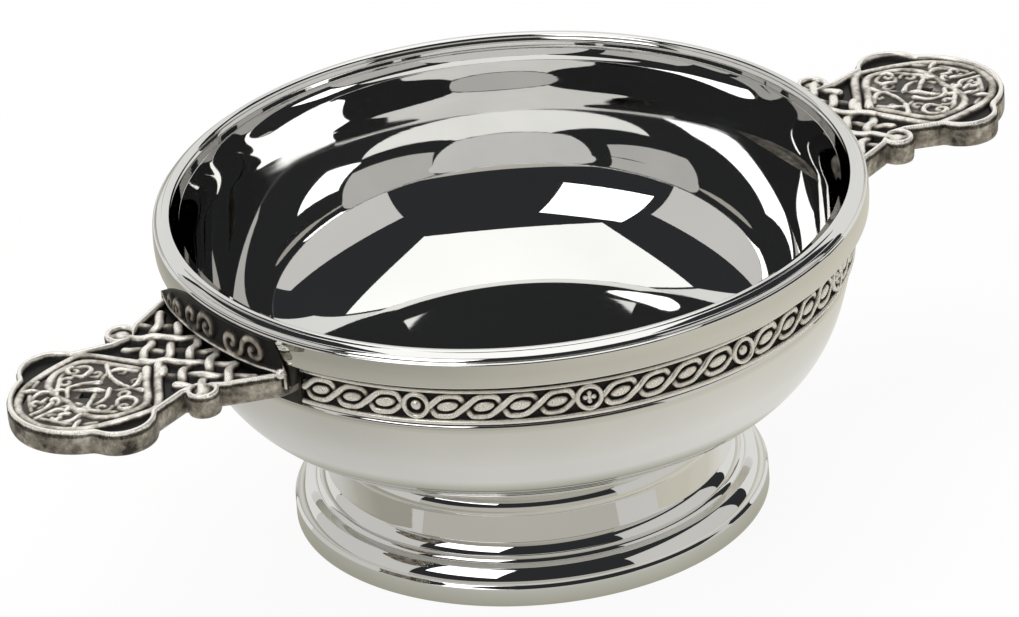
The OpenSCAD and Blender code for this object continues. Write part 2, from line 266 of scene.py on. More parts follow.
def add_node(tree, kind, inputs, operation=None):
    """A new node with its inputs; returns its outputs."""
    node = tree.nodes.new(kind)
    if operation:
        node.operation = operation
    set_inputs(tree, node, inputs)
    return node.outputs


def object_place(tree):
    """The place on the object, in metres."""
    return add_node(tree, "ShaderNodeTexCoord", {})["Object"]


def math_node(tree, operation, *values):
    """A Math node fed by sockets or numbers; returns its output."""
    return add_node(tree, "ShaderNodeMath", dict(enumerate(values)), operation)[0]


def ramp_node(tree, source, stops):
    """A colour ramp with stops of (position, colour); returns its colour output."""
    node = tree.nodes.new("ShaderNodeValToRGB")
    elements = node.color_ramp.elements
    while len(elements) < len(stops):
        elements.new(0.5)
    for element, (position, color) in zip(elements, stops):
        element.position = position
        element.color = (*color, 1)
    set_inputs(tree, node, {0: source})
    return node.outputs[0]


def noise_node(tree, vector, scale, detail, roughness=0.5):
    """A noise texture; returns its factor output."""
    inputs = {"Vector": vector, "Scale": scale, "Detail": detail, "Roughness": roughness}
    return add_node(tree, "ShaderNodeTexNoise", inputs)["Fac"]


def map_range(tree, value, low, high, start=0, end=1):
    """Maps start..end to low..high."""
    inputs = {"Value": value, "From Min": start, "From Max": end, "To Min": low, "To Max": high}
    return add_node(tree, "ShaderNodeMapRange", inputs)[0]


def bump_node(tree, height, strength, distance):
    """Fine relief for a shader's normal, with its depth in metres."""
    return add_node(tree, "ShaderNodeBump", {"Height": height, "Strength": strength, "Distance": distance})[0]


def turned_vector(tree, along, across):
    """Coordinates for lines that run round the axis: slow along the turn, fast across it."""
    x, y, z = add_node(tree, "ShaderNodeSeparateXYZ", {0: object_place(tree)})
    squares = [math_node(tree, "MULTIPLY", side, side) for side in (x, y)]
    radius = math_node(tree, "SQRT", math_node(tree, "ADD", *squares))
    angle = math_node(tree, "ARCTAN2", y, x)
    scaled = [math_node(tree, "MULTIPLY", *pair) for pair in ((radius, across), (angle, along), (z, across))]
    return add_node(tree, "ShaderNodeCombineXYZ", dict(enumerate(scaled)))[0]


def polished_pewter():
    """Mirror-polished pewter with faint spinning lines, wiping marks and small changes of gloss."""
    material, tree = new_material("polished_pewter")
    lines = noise_node(tree, turned_vector(tree, along=1.6, across=5200), scale=1, detail=2)
    wipes = noise_node(tree, turned_vector(tree, along=7, across=420), scale=1, detail=4)
    cloud = noise_node(tree, object_place(tree), scale=45, detail=3)
    gloss = math_node(tree, "MULTIPLY", lines, wipes)
    set_inputs(tree, tree.nodes["Principled BSDF"], {
        "Base Color": ramp_node(tree, cloud, [(0.3, (0.73, 0.728, 0.718)), (0.7, (0.775, 0.772, 0.76))]),
        "Metallic": 1,
        "Roughness": map_range(tree, gloss, low=0.008, high=0.06),
        "Normal": bump_node(tree, lines, strength=0.25, distance=0.0000012),
    })
    return material


def antique_pewter():
    """Cast pewter: bright worn ridges, brown-black oxide in the recesses, a fine cast grain."""
    material, tree = new_material("antique_pewter")
    relief = tree.nodes.new("ShaderNodeAttribute")
    relief.attribute_name = "relief"
    place = object_place(tree)
    mottle = noise_node(tree, place, scale=900, detail=4, roughness=0.6)
    grain = noise_node(tree, place, scale=5200, detail=3, roughness=0.6)
    patina = noise_node(tree, place, scale=240, detail=2)
    mottle_shift = map_range(tree, mottle, low=-0.16, high=0.16)
    patina_shift = map_range(tree, patina, low=-0.2, high=0.16)
    shift = math_node(tree, "ADD", mottle_shift, patina_shift)
    worn = math_node(tree, "ADD", relief.outputs["Fac"], shift)
    polish = map_range(tree, worn, low=0.5, high=0.18)
    speckle = map_range(tree, grain, low=-0.08, high=0.08)
    set_inputs(tree, tree.nodes["Principled BSDF"], {
        "Base Color": ramp_node(tree, worn, [
            (0.2, (0.004, 0.0035, 0.003)), (0.42, (0.045, 0.038, 0.03)),
            (0.54, (0.36, 0.325, 0.275)), (0.68, (0.9, 0.87, 0.815))]),
        "Metallic": map_range(tree, worn, low=0.35, high=0.64),
        "Roughness": math_node(tree, "ADD", polish, speckle),
        "Normal": bump_node(tree, math_node(tree, "ADD", grain, mottle), strength=0.35, distance=0.00006),
    })
    return material


POLISHED = polished_pewter()
ANTIQUE = antique_pewter()


# Turned pieces


WIRE_Z = RIM_SEAT_Z + SOLDER_GAP
EDGE_CENTER = polar((RIM_OUT_R, WIRE_Z), -RIM_EDGE_ROUND, RIM_ANGLES[0])
SLOPE_CENTER = polar(EDGE_CENTER, RIM_EDGE_ROUND - RIM_SLOPE_ROUND, RIM_ANGLES[1])
SLOPE_TOP = polar(SLOPE_CENTER, RIM_SLOPE_ROUND, RIM_ANGLES[2])
BEAD_Z = OVERALL_H - RIM_BEAD_R
BEAD_ANGLE = math.degrees(math.asin((SLOPE_TOP[1] - BEAD_Z) / RIM_BEAD_R))
BEAD_CENTER = (SLOPE_TOP[0] - RIM_BEAD_R * math.cos(math.radians(BEAD_ANGLE)), BEAD_Z)
MOUTH_R = BEAD_CENTER[0] - RIM_BEAD_R - RIM_FLARE


def collar_face_r(z):
    """Outer face of the collar, bulging a little at mid height."""
    return COLLAR_R - COLLAR_BULGE * ((z - OVERHANG_Z) / COLLAR_H * 2 - 1) ** 2


def bowl_profile():
    """Section of the bowl, from the middle of its underside round to the middle of its floor."""
    outside = [p for p in outside_curve(steps=110) if p[0] > JOINT_R and p[1] > FOOT_H]
    shoulder_end = math.degrees(math.acos(1 - SHOULDER_PROUD / SHOULDER_ROUND))
    ledge_rise = LEDGE_W * math.tan(math.radians(LEDGE_SLOPE))
    face_low_z = OVERHANG_Z + COLLAR_ROUND
    face_top_z = RIM_SEAT_Z - SOLDER_GAP - ledge_rise - COLLAR_ROUND
    face = [(collar_face_r(z), z) for z in np.linspace(face_low_z, face_top_z, 12)]
    low_center = (face[0][0] - COLLAR_ROUND, face_low_z)
    top_center = (face[-1][0] - COLLAR_ROUND, face_top_z)
    collar_top = arc(top_center, COLLAR_ROUND, COLLAR_LEAN, 90 - LEDGE_SLOPE, steps=6)
    third = (RIM_SEAT_Z - CREASE_Z) / 3
    waist = (CREASE_R - WALL_WAIST, CREASE_Z + 2 * third)
    swell = (CREASE_R + WALL_SWELL, CREASE_Z + third)
    corners = [(0, SPIGOT_Z), (SPIGOT_R, SPIGOT_Z), (SPIGOT_R, FOOT_H), (JOINT_R, FOOT_H)]
    corners += outside[:0:-1]
    corners += arc((BODY_R - SHOULDER_ROUND, LOWER_Z), SHOULDER_ROUND, 0, shoulder_end, steps=10)
    corners += [(SEAT_R, OVERHANG_Z)]
    corners += arc(low_center, COLLAR_ROUND, -90, -COLLAR_LEAN, steps=8)
    corners += face + collar_top
    corners += [(collar_top[-1][0] - LEDGE_W, collar_top[-1][1] + ledge_rise), (RIM_OUT_R, RIM_SEAT_Z)]
    corners += bezier([(MOUTH_R, RIM_SEAT_Z), waist, swell, (CREASE_R, CREASE_Z)], steps=24)
    corners += inside_curve(steps=130)[1:]
    return even_out(round_corners(corners, radius=0.1), longest=0.9)


def rim_profile():
    """Section of the rim wire: a rounded outer edge, a slope, and an inner bead above it."""
    corners = [(MOUTH_R, WIRE_Z)]
    corners += arc(EDGE_CENTER, RIM_EDGE_ROUND, RIM_ANGLES[0], RIM_ANGLES[1], steps=24)
    corners += arc(SLOPE_CENTER, RIM_SLOPE_ROUND, RIM_ANGLES[1], RIM_ANGLES[2], steps=8)
    corners += arc(BEAD_CENTER, RIM_BEAD_R, BEAD_ANGLE, 180, steps=18)
    return even_out(corners, longest=0.2)


def foot_profile():
    """Section of the hollow foot: base edge, roll, two steps, wall and ovolo, then the plain inside."""
    base_r, base_edge_h, base_groove = 38.0, 3.0, 0.45
    roll_round, roll_from, roll_to = 5.4, 18, 47
    lower_round, lower_from, lower_to = 1.5, 22, 60
    upper_round, upper_from, upper_to = 4.2, 20, 50
    ovolo_out, ovolo_round, ovolo_from, ovolo_to = 1.44, 4.5, 8, 56
    step_ledge, wall_lean, neck_h = 1.45, 1.25, 4.2
    step_groove_w, step_groove_h = 0.18, 0.05
    groove_rise, ovolo_rise = 1.5 * base_groove, 0.72 * ovolo_out
    foot_wall, top_z = 2.2, FOOT_H - SOLDER_GAP
    roll_center = polar((base_r - base_groove, base_edge_h + groove_rise), -roll_round, roll_from)
    roll_top = polar(roll_center, roll_round, roll_to)
    lower_foot = (roll_top[0] - step_ledge, roll_top[1])
    lower_center = polar(lower_foot, -lower_round, lower_from)
    lower_top = polar(lower_center, lower_round, lower_to)
    upper_foot = (lower_top[0] - step_groove_w, lower_top[1] + step_groove_h)
    upper_center = polar(upper_foot, -upper_round, upper_from)
    neck_r = polar(upper_center, upper_round, upper_to)[0] - wall_lean
    neck_z = top_z - neck_h
    ovolo_center = polar((neck_r + ovolo_out, neck_z + ovolo_rise), -ovolo_round, ovolo_from)
    outside = [(base_r, 0), (base_r, base_edge_h), (base_r - base_groove, base_edge_h + base_groove)]
    outside += arc(roll_center, roll_round, roll_from, roll_to, steps=14)
    outside += arc(lower_center, lower_round, lower_from, lower_to, steps=12)
    outside += arc(upper_center, upper_round, upper_from, upper_to, steps=14) + [(neck_r, neck_z)]
    outside += arc(ovolo_center, ovolo_round, ovolo_from, ovolo_to, steps=18)
    outside += [(outside[-1][0], top_z)]
    bore_r = SPIGOT_R + SOLDER_GAP
    inner_step = (lower_foot[0] - foot_wall, roll_top[1] - foot_wall / 3)
    inside = bezier([inner_step, (bore_r, upper_foot[1]), (bore_r, neck_z - foot_wall)], steps=16)[::-1]
    ring = round_corners(outside, radius=0.14) + [(bore_r, top_z)] + inside
    ring += [(base_r - foot_wall, base_edge_h), (base_r - foot_wall, 0)]
    return even_out(ring, longest=0.5)


bowl = lathe("bowl_turned", bowl_profile(), POLISHED, closed=False)
rim = lathe("rim_wire_turned", rim_profile(), POLISHED, closed=True)
foot = lathe("foot_turned", foot_profile(), POLISHED, closed=True)


# Carving: strands as ridges in a height field


STRAND_POWER = 2.2
STRAND_SIDE = 0.2
POINTS_AT_ONCE = 6000
WEAR_BY_LEVEL, WEAR_BY_RISE, WEAR_LEAST = 0.62, 0.42, 0.14
BACK_SHADE = 0.3


def dome(share, power=2):
    """Rounded top: 1 where share is 0, falling to 0 where it reaches 1."""
    return np.sqrt(np.clip(1 - share**power, 0, 1))


def spline(points, per_span=10):
    """Points of a smooth curve through the control points."""
    p = np.array(points, float)
    p = np.vstack([2 * p[0] - p[1], p, 2 * p[-1] - p[-2]])
    out = []
    for i in range(1, len(p) - 2):
        for t in np.linspace(0, 1, per_span, endpoint=False):
            a = 2 * p[i]
            b = p[i + 1] - p[i - 1]
            c = 2 * p[i - 1] - 5 * p[i] + 4 * p[i + 1] - p[i + 2]
            d = -p[i - 1] + 3 * p[i] - 3 * p[i + 1] + p[i + 2]
            out.append(0.5 * (a + b * t + c * t * t + d * t**3))
    out.append(p[-2])
    return np.array(out)


def run_length(line):
    """Distance along a line at each of its points."""
    return np.concatenate([[0], np.cumsum(np.linalg.norm(np.diff(line, axis=0), axis=1))])


def crossings(a, b):
    """Distances along lines a and b at which they cross."""
    p, r = a[:-1, None], np.diff(a, axis=0)[:, None]
    q, s = b[None, :-1], np.diff(b, axis=0)[None]
    cross = r[..., 0] * s[..., 1] - r[..., 1] * s[..., 0]
    cross = np.where(np.abs(cross) < TINY, TINY, cross)
    gap = q - p
    t = (gap[..., 0] * s[..., 1] - gap[..., 1] * s[..., 0]) / cross
    u = (gap[..., 0] * r[..., 1] - gap[..., 1] * r[..., 0]) / cross
    hit = np.argwhere((t >= 0) & (t < 1) & (u >= 0) & (u < 1))
    la, lb = run_length(a), run_length(b)
    return [(la[i] + t[i, j] * (la[i + 1] - la[i]), lb[j] + u[i, j] * (lb[j + 1] - lb[j])) for i, j in hit]


def crossing_pairs(lines):
    """Each place where two of the lines cross: which two, and how far along each of them."""
    for i, a in enumerate(lines):
        for j in range(i + 1, len(lines)):
            for ta, tb in crossings(a, lines[j]):
                yield i, j, ta, tb


def weave(lines):
    """For each line, its crossings as (distance along it, +1 over or -1 under), alternating."""
    found = [[] for _ in lines]
    for i, j, ta, tb in crossing_pairs(lines):
        key = (i, j, round(ta, 4))
        found[i].append((ta, key))
        found[j].append((tb, key))
    sign, result = {}, []
    for i, row in enumerate(found):
        row.sort()
        turn, done = 1, []
        for t, key in row:
            if key in sign:
                mine = sign[key] if key[0] == i else -sign[key]
            else:
                mine = turn
                sign[key] = mine if key[0] == i else -mine
            done.append((t, mine))
            turn = -mine
        result.append(done)
    return result


def rising_over(lines):
    """For each line, its crossings: over where it rises, under where it falls."""
    found = [[] for _ in lines]
    for i, j, ta, tb in crossing_pairs(lines):
        a = lines[i]
        k = int(np.clip(np.searchsorted(run_length(a), ta), 1, len(a) - 1))
        sign = 1 if a[k, 1] > a[k - 1, 1] else -1
        found[i].append((ta, sign))
        found[j].append((tb, -sign))
    return found


def strand_field(x, y, lines, crossed, width, crest, dip, ground):
    """Height of round-topped strands at (x, y): over and under at crossings, ground elsewhere."""
    height = np.full(x.shape, ground)
    half = width / 2
    for line, cross in zip(lines, crossed):
        along = run_length(line)
        lift = np.zeros(len(line))
        for t, sign in cross:
            lift += sign * np.exp(-(((along - t) / width) ** 2))
        lift = crest + dip * (np.clip(lift, -1, 1) - 1) / 2
        low = line.min(axis=0) - half
        high = line.max(axis=0) + half
        near = np.flatnonzero((x > low[0]) & (x < high[0]) & (y > low[1]) & (y < high[1]))
        for part in np.array_split(near, max(1, len(near) // POINTS_AT_ONCE)):
            if not len(part):
                continue
            p = np.stack([x[part], y[part]], -1)[:, None]
            a, d = line[:-1][None], np.diff(line, axis=0)[None]
            t = np.clip(((p - a) * d).sum(-1) / np.maximum((d * d).sum(-1), TINY), 0, 1)
            gap = np.linalg.norm(p - a - t[..., None] * d, axis=-1)
            k = gap.argmin(axis=1)
            pick = np.arange(len(part))
            dist, t = gap[pick, k], t[pick, k]
            top = lift[k] + (lift[k + 1] - lift[k]) * t
            rise = STRAND_SIDE + (1 - STRAND_SIDE) * dome(dist / half, STRAND_POWER)
            value = np.where(dist < half, ground + (top - ground) * rise, ground)
            height[part] = np.maximum(height[part], value)
    return height


def box_blur(field, reach):
    """Mean of a 2-D field over a square window, edges held."""
    for axis in (0, 1):
        pad = [(0, 0), (0, 0)]
        pad[axis] = (reach + 1, reach)
        total = np.cumsum(np.pad(field, pad, mode="edge"), axis=axis)
        n = field.shape[axis]
        upper = np.take(total, np.arange(2 * reach + 1, 2 * reach + 1 + n), axis=axis)
        lower = np.take(total, np.arange(n), axis=axis)
        field = (upper - lower) / (2 * reach + 1)
    return field


def wear(height, ground, crest, reach):
    """0 in deep recesses to 1 on ridges, from the height and how it rises above its surroundings."""
    level = np.clip((height - ground) / (crest - ground), 0, 1)
    rise = (height - box_blur(box_blur(height, reach), reach)) / (crest - ground)
    return np.clip(WEAR_BY_LEVEL * level + WEAR_BY_RISE * rise + WEAR_LEAST, 0, 1)


def round_axis(radius, angle, z):
    """Points at a radius, an angle and a height."""
    return np.stack([radius * np.cos(angle), radius * np.sin(angle), z], -1)


def ball(low, high, rings, turns):
    """Points of a unit ball between two elevations, ring by ring."""
    up = np.repeat(np.linspace(low, high, rings), turns)
    angle = np.tile(np.arange(turns) * 2 * math.pi / turns, rings)
    return round_axis(np.cos(up), angle, np.sin(up))


def sheet_faces(columns, rows):
    """Faces of a carved sheet: its front grid, and a back between a lower and an upper row."""
    wide = rows + 1
    low, high = (columns + 1) * wide, (columns + 1) * (wide + 1)
    faces = []
    for i in range(columns):
        at, to = i * wide, (i + 1) * wide
        faces += [[at + j, to + j, to + j + 1, at + j + 1] for j in range(rows)]
        faces.append([low + i, low + i + 1, to, at])
        faces.append([at + rows, to + rows, high + i + 1, high + i])
        faces.append([high + i, high + i + 1, low + i + 1, low + i])
    faces.append([low] + list(range(wide)) + [high])
    last = columns * wide
    faces.append(list(range(last + wide - 1, last - 1, -1)) + [low + columns, high + columns])
    return faces


def carved_sheet(back_r, angle, height, z, shade):
    """Vertices, faces and wear of a thin shell round the axis, carved in front and plain behind."""
    front = round_axis(back_r + height, angle, z).reshape(-1, 3)
    edge = angle[:, 0]
    backs = [round_axis(back_r, edge, z[:, row]) for row in (0, -1)]
    faces = sheet_faces(angle.shape[0] - 1, angle.shape[1] - 1)
    shades = np.concatenate([shade.ravel(), np.full(2 * len(edge), BACK_SHADE)])
    return np.vstack([front] + backs), faces, shades


def cast_piece(name, verts, faces, shades):
    """A cast piece, with the wear of each vertex stored for its material."""
    obj = make_mesh(name, verts, faces, ANTIQUE)
    layer = obj.data.attributes.new("relief", "FLOAT", "POINT")
    layer.data.foreach_set("value", np.asarray(shades, np.float32))
    return obj


# Knot band


BAND_CELL = 0.11
BAND_GROUND = 0.15
BAND_CREST = 1.0
# Gain on the band's wear so its crests turn white: painted highlight, standing in for light its upright face
# does not catch
BAND_PAINTED_HIGHLIGHT = 1.2
BEAD_LOW, BEAD_HIGH = 41.25, 42.05
LINE_LOW, LINE_HIGH = 46.8, 47.3
LINE_SPREAD = 0.06
LINE_DROP = 0.1
MOTIF_MID_Z = (BEAD_HIGH + LINE_LOW) / 2
ROUNDEL_PITCH = 27.4
FIRST_ROUNDEL = 20.2
ROUNDEL_R = 2.33
RING_INSET = 0.42
RING_HALF_W = 0.44
PELLET_R = 0.95
LOBE_OUT, LOBE_R = 0.7, 0.48
EYES = 4
EYE_PITCH = 5.75
LENS_R, LENS_H, LENS_STRETCH, LENS_SLANT = 0.95, 0.6, 1.9, 0.5
TWIST_W = 1.12
TWIST_DIP = 0.55
TWIST_REACH = 1.89
TWIST_SKEW = 0.45
TWIST_SWING = 1.5
STRIP_MARGIN = 0.4


def roundel_places(length):
    """Places of the roundels along a strip, with some past its ends."""
    first = FIRST_ROUNDEL - ROUNDEL_PITCH
    return [first + i * ROUNDEL_PITCH for i in range(int(length / ROUNDEL_PITCH) + 3)]


def band_strands(length):
    """Centre lines of the two twisted strands between the roundels of a strip."""
    strands = []
    for center in roundel_places(length):
        start = center + (ROUNDEL_PITCH - EYES * EYE_PITCH) / 2
        s = np.linspace(0, EYES * EYE_PITCH, 160)
        for phase in (0, math.pi):
            angle = np.pi * s / EYE_PITCH + phase
            swing = TWIST_SWING * np.sin(angle - TWIST_SKEW * np.sin(angle))
            flattened = swing / (1 + np.abs(swing) ** 4) ** 0.25
            line = np.stack([start + s, flattened * TWIST_REACH], -1)
            keep = (line[:, 0] > STRIP_MARGIN) & (line[:, 0] < length - STRIP_MARGIN)
            if keep.sum() > 3:
                strands.append(line[keep])
    return strands


def roundel_boss(dx, dy, pellet):
    """Height of a roundel's middle, 0 to 1: a round pellet or a cross of four lobes."""
    if pellet:
        return dome(np.hypot(dx, dy) / PELLET_R)
    boss = np.zeros(dx.shape)
    for ax, ay in ((1, 0), (-1, 0), (0, 1), (0, -1), (0, 0)):
        boss = np.maximum(boss, dome(np.hypot(dx - ax * LOBE_OUT, dy - ay * LOBE_OUT) / LOBE_R))
    return boss


def band_height(along, up, length):
    """Height of the relief above the strip's back; up is measured from the middle of the interlace."""
    strands = band_strands(length)
    shape = (TWIST_W, BAND_CREST, TWIST_DIP, BAND_GROUND)
    height = strand_field(along, up, strands, rising_over(strands), *shape)
    places = roundel_places(length)
    for place in places:
        for j in range(EYES):
            center = place + ROUNDEL_PITCH / 2 + (j - (EYES - 1) / 2) * EYE_PITCH
            dist = np.hypot((along - center - LENS_SLANT * up) / LENS_STRETCH, up)
            height = np.maximum(height, BAND_GROUND + LENS_H * dome(dist / LENS_R, 4))
    for index, center in enumerate(places):
        if not 0 < center < length:
            continue
        dist = np.hypot(along - center, up)
        ring = dome(np.abs(dist - ROUNDEL_R + RING_INSET) / RING_HALF_W, 3)
        boss = roundel_boss(along - center, up, pellet=index % 2 == 1)
        lift = BAND_GROUND + (BAND_CREST - BAND_GROUND) * np.maximum(ring, boss)
        height = np.maximum(np.where(dist < ROUNDEL_R, BAND_GROUND, height), lift)
    for low, high in ((BEAD_LOW, BEAD_HIGH), (LINE_LOW, LINE_HIGH)):
        middle, half = (low + high) / 2 - MOTIF_MID_Z, (high - low) / 2 + LINE_SPREAD
        ridge = dome(np.abs(up - middle) / half, 3)
        height = np.maximum(height, BAND_GROUND + (BAND_CREST - LINE_DROP - BAND_GROUND) * ridge)
    return height


def knot_band(name, turn):
    """One strip of the band."""
    length = (math.pi - 2 * STRIP_END_ANGLE) * GROUND_R
    columns = int(length / BAND_CELL)
    rows = int((STRIP_Z1 - STRIP_Z0) / BAND_CELL)
    heights = np.linspace(STRIP_Z0, STRIP_Z1, rows + 1) - MOTIF_MID_Z
    along, up = np.meshgrid(np.linspace(0, length, columns + 1), heights, indexing="ij")
    height = band_height(along.ravel(), up.ravel(), length).reshape(along.shape)
    # The band's wear is raised by this gain beyond what its relief gives: painted highlight
    shade = BAND_PAINTED_HIGHLIGHT * wear(height, BAND_GROUND, BAND_CREST, reach=4)
    angle = turn + STRIP_END_ANGLE + along / GROUND_R
    return cast_piece(name, *carved_sheet(STRIP_R, angle, height, up + MOTIF_MID_Z, shade))


band_front = knot_band("knot_band_front_carved", math.pi)
band_back = knot_band("knot_band_back_carved", 0)


# Lugs, each in its own frame: X outward from the seat, Y across, 0 at the top of the carved face


LUG_CELL = 0.13
LUG_HALF_W = 17.6
LUG_BACK_X = -3.2
LUG_GROUND, LUG_CREST, LUG_DIP = -1.25, -0.04, 0.6
PAD_OVERLAP = 0.05
HEAD_X = 26.6
HEAD_R = 12.6
HEAD_GROUND = -0.64
SHOULDER = (26.6, 10.1, 5.8)
WAIST_LOBE = (12.6, 12.15, 2.7)
SHOULDER_BLEND, WAIST_BLEND, BODY_BLEND = 0.8, 0.25, 0.3
KNOB_INSET, KNOB_H = 0.9, 1.0
BORDER_W, BORDER_TOP, BORDER_SIDE = 1.0, -0.03, 0.15
WALL_SHADE, PAD_SHADE = 0.53, 0.35
LUG_EDGE = ((-3.0, 17.3), (1.3, 17.3), (9.6, 13.3), (12.6, 10.8), (15.3, 10.8), (22.0, 12.9), (26.6, 14.45))
HEAD_FIELD = ((15.6, 0), (20.9, 10.4), (32.0, 8.2), (36.6, 3.4),
              (36.6, -3.4), (32.0, -8.2), (20.9, -10.4))
LOZENGE_X, LOZENGE_HALF_L, LOZENGE_HALF_W = 26.0, 2.0, 1.7
WALL_STEPS = ((0.0, 0.7), (0.0, 1.3), (0.05, 2.0), (0.05, 2.8),
              (0.0, LUG_T - 0.55), (-0.14, LUG_T - 0.16), (-0.5, LUG_T))


def polygon_distance(x, y, corners):
    """Signed distance to a polygon, negative inside."""
    p = np.stack([x, y], -1)
    best = np.full(x.shape, np.inf)
    sign = np.ones(x.shape)
    for i, corner in enumerate(corners):
        a, b = np.array(corner, float), np.array(corners[i - 1], float)
        edge, off = b - a, p - a
        t = np.clip((off @ edge) / (edge @ edge), 0, 1)
        best = np.minimum(best, ((off - t[..., None] * edge) ** 2).sum(-1))
        above, below = y >= a[1], y < b[1]
        left = edge[0] * off[..., 1] > edge[1] * off[..., 0]
        flip = (above & below & left) | (~above & ~below & ~left)
        sign = np.where(flip, -sign, sign)
    return sign * np.sqrt(best)


def soft_min(a, b, reach):
    """Smooth union of two signed distances."""
    h = np.clip(0.5 + 0.5 * (b - a) / reach, 0, 1)
    return b + (a - b) * h - reach * h * (1 - h)


def lug_distance(x, y):
    """Signed distance to a lug's plan: round head, shoulder lobes, waist lobes and flared root."""
    side = np.abs(y)
    shape = np.hypot(x - HEAD_X, y) - HEAD_R
    for cx, cy, r, blend in ((*SHOULDER, SHOULDER_BLEND), (*WAIST_LOBE, WAIST_BLEND)):
        shape = soft_min(shape, np.hypot(x - cx, side - cy) - r, blend)
    body = [(cx, -cy) for cx, cy in LUG_EDGE] + list(LUG_EDGE[::-1])
    shape = soft_min(shape, polygon_distance(x, y, body), BODY_BLEND)
    return np.maximum(shape, STRIP_R + PAD_OVERLAP - np.hypot(x + SEAT_R, y))


# Control points of the head's strands; the other side mirrors them
HEAD_FRAME = (
    ((13.2, 0.0), (16.2, 4.6), (18.8, 9.0), (20.8, 11.3), (24.0, 11.2),
     (28.0, 10.4), (32.2, 8.9), (35.2, 6.4), (37.1, 3.2), (37.6, 0.0)),
    ((15.4, 0.0), (17.6, 3.4), (19.8, 7.4), (21.8, 9.4), (24.6, 9.5),
     (27.4, 8.7), (29.6, 6.6), (30.4, 3.4), (30.0, 0.0)),
)
HEAD_KNOT = (
    ((36.4, 0.75), (33.2, 0.85), (30.8, 2.4), (28.6, 5.2), (26.6, 7.6),
     (24.2, 8.6), (22.0, 7.6), (22.0, 5.9), (23.8, 5.2), (25.0, 6.4)),
    ((16.8, 0.6), (19.0, 3.0), (21.4, 2.9), (24.4, 0.4), (27.2, -2.4),
     (29.8, -4.4), (32.2, -5.4), (33.8, -4.4), (33.2, -2.8), (31.8, -3.2)),
    ((19.4, 5.4), (20.6, 2.8), (21.0, 0.0), (20.6, -2.8), (19.4, -5.4)),
    ((33.6, 7.6), (31.6, 6.2), (31.4, 4.6)),
    ((23.2, 1.5), (25.2, 3.3), (27.8, 3.4), (29.2, 1.4)),
    ((30.2, 8.8), (32.6, 7.0), (34.4, 4.4), (35.8, 1.6)),
)
# Curls on the head: centre, reach, and the angle at which each ends
HEAD_CURLS = ((18.6, 1.9, 1.2, 200), (22.0, 4.4, 1.3, 60), (26.9, 5.4, 1.5, 150), (31.6, 1.7, 1.3, 20),
              (34.2, 2.8, 1.3, 280), (29.4, 4.2, 1.1, 330), (24.2, 7.6, 1.2, 110))
CURL_TURNS = 0.9
CURL_EYE = 0.35
FRAME_W, KNOT_W, PLAIT_W = 1.8, 1.15, 1.75
PLAIT_STEP = 5.4
PLAIT_FROM, PLAIT_MID, PLAIT_TO = 4.2, 9.4, 14.6
PLAIT_SLOPE = 1.05
PLAIT_WOBBLE, PLAIT_WOBBLE_RATE = 0.45, 1.5
PLAIT_MARGIN = 1.1
PLAIT_POINT_X, PLAIT_POINT_SLOPE = 13.4, 1.5


def spiral(x, y, reach, turns, end):
    """Centre line of a spiral that ends at an angle, in degrees, on its outer turn."""
    angle = np.linspace(-2 * math.pi * turns, 0, 34) + math.radians(end)
    radius = np.linspace(CURL_EYE, reach, len(angle))
    return np.stack([x + radius * np.cos(angle), y + radius * np.sin(angle)], -1)


def plait_lines():
    """Centre lines of the plait in the root, which ends in a point towards the head."""
    plait = []
    s = np.linspace(PLAIT_FROM, PLAIT_TO, 60)
    for slope in (PLAIT_SLOPE, -PLAIT_SLOPE):
        for k in range(-5, 6):
            wobble = PLAIT_WOBBLE * np.sin(PLAIT_WOBBLE_RATE * s + k)
            line = np.stack([s, slope * (s - PLAIT_MID) + (k + 0.5) * PLAIT_STEP + wobble], -1)
            inside = lug_distance(line[:, 0], line[:, 1]) < -PLAIT_MARGIN
            inside &= np.abs(line[:, 1]) > (line[:, 0] - PLAIT_POINT_X) * PLAIT_POINT_SLOPE
            if inside.sum() > 8:
                plait.append(line[inside])
    return plait


def lug_lines():
    """Centre lines of the carved strands with their widths: the head's frame, its knot, the root's plait."""
    flip = np.array((1, -1))
    frame_lines = [spline(half) * side for half in HEAD_FRAME for side in (1, flip)]
    knot = [spline(half) * side for half in HEAD_KNOT for side in (1, flip)]
    curls = [spiral(x, y, reach, CURL_TURNS, end) for x, y, reach, end in HEAD_CURLS]
    knot += [curl * side for curl in curls for side in (1, flip)]
    return ((frame_lines, FRAME_W), (knot, KNOT_W), (plait_lines(), PLAIT_W))


def edge_ridge(inward, width, outer_round, inner_round):
    """Flat-topped ridge along an edge, 0 to 1, by the distance inward from that edge."""
    outer = dome(np.clip(outer_round - inward, 0, None) / outer_round)
    inner = dome(np.clip(inward - width + inner_round, 0, None) / inner_round)
    return np.minimum(outer, inner)


def lug_height(x, y, dist):
    """Height of the carved face, 0 at its top."""
    height = np.full(x.shape, LUG_GROUND)
    for lines, width in lug_lines():
        strands = strand_field(x, y, lines, weave(lines), width, LUG_CREST, LUG_DIP, LUG_GROUND)
        height = np.maximum(height, strands)
    lozenge = np.abs(x - LOZENGE_X) / LOZENGE_HALF_L + np.abs(y) / LOZENGE_HALF_W < 1
    field = (polygon_distance(x, y, HEAD_FIELD) < 0) & ~lozenge
    height = np.where(field, np.maximum(height, HEAD_GROUND), height)
    lobe_x, lobe_y, lobe_r = WAIST_LOBE
    knob = np.hypot(x - lobe_x, np.abs(y) - lobe_y) / (lobe_r - KNOB_INSET)
    height = np.maximum(height, LUG_GROUND + KNOB_H * dome(knob))
    border = edge_ridge(-dist, BORDER_W, outer_round=0.3, inner_round=0.35)
    edge = LUG_GROUND + (BORDER_TOP - LUG_GROUND) * (BORDER_SIDE + (1 - BORDER_SIDE) * border)
    return np.where(border > 0, np.maximum(height, edge), height)


